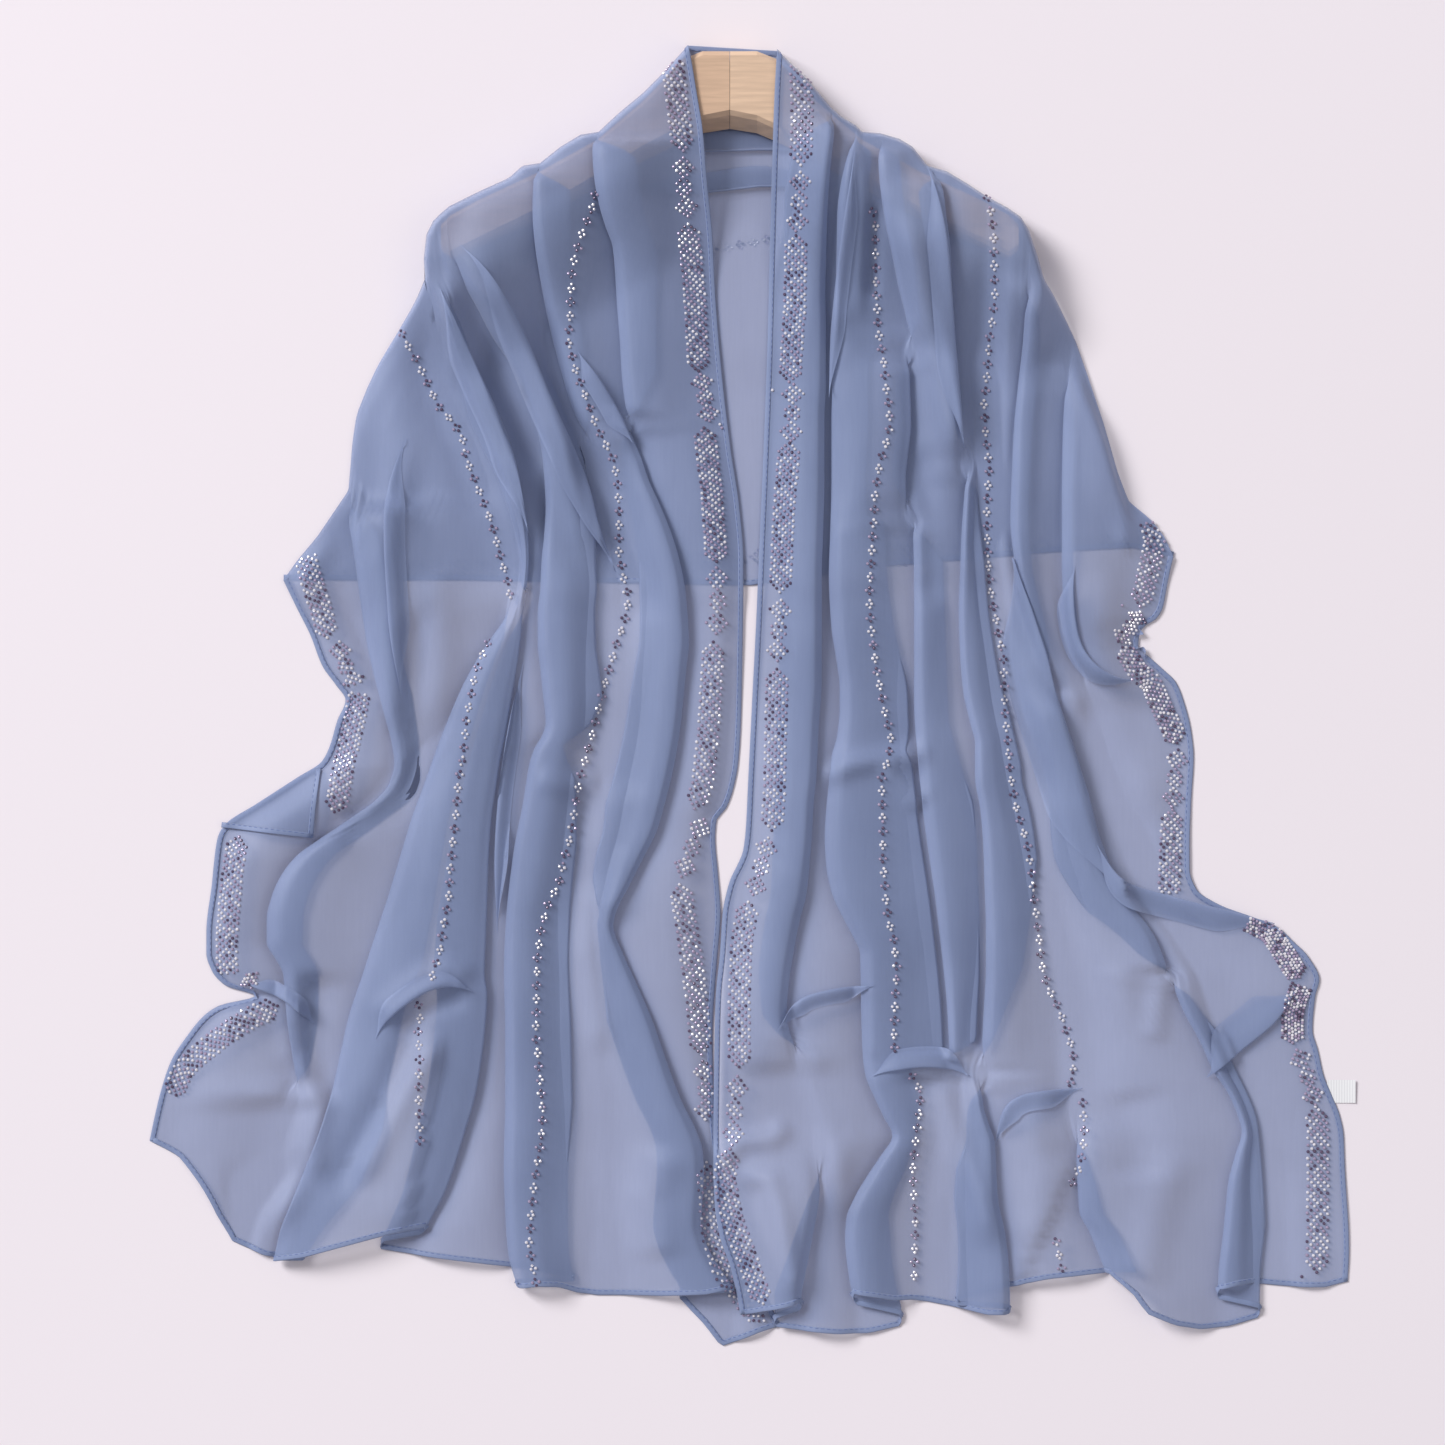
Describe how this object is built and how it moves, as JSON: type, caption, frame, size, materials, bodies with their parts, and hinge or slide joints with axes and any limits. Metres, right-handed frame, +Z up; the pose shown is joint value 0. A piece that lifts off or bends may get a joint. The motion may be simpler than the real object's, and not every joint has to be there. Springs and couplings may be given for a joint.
{
  "type": "chiffon scarf laid round a wooden coat hanger",
  "caption": "Long translucent scarf worn-style round a coat hanger and laid flat, its two fronts in loose folds over a plain back, with a narrow hem and a small blank label.",
  "frame": {"origin": "centre of the footprint on the surface the scarf lies on", "axes": "+X to the right seen from above with the neck at the top, +Y from the hem towards the neck, +Z up off the surface"},
  "size_m": [0.892, 0.956, 0.0366],
  "materials": {
    "left_chiffon": "soft matt chiffon",
    "right_chiffon": "soft matt chiffon",
    "back_chiffon": "soft matt chiffon",
    "left_beech": "satin lacquer",
    "right_beech": "satin lacquer",
    "label_satin": "smooth satin"
  },
  "bodies": {
    "root": {"left_front": "left_chiffon", "right_front": "right_chiffon", "back": "back_chiffon", "hanger_left": "left_beech", "hanger_right": "right_beech", "care_label": "label_satin"}
  },
  "joints": []
}
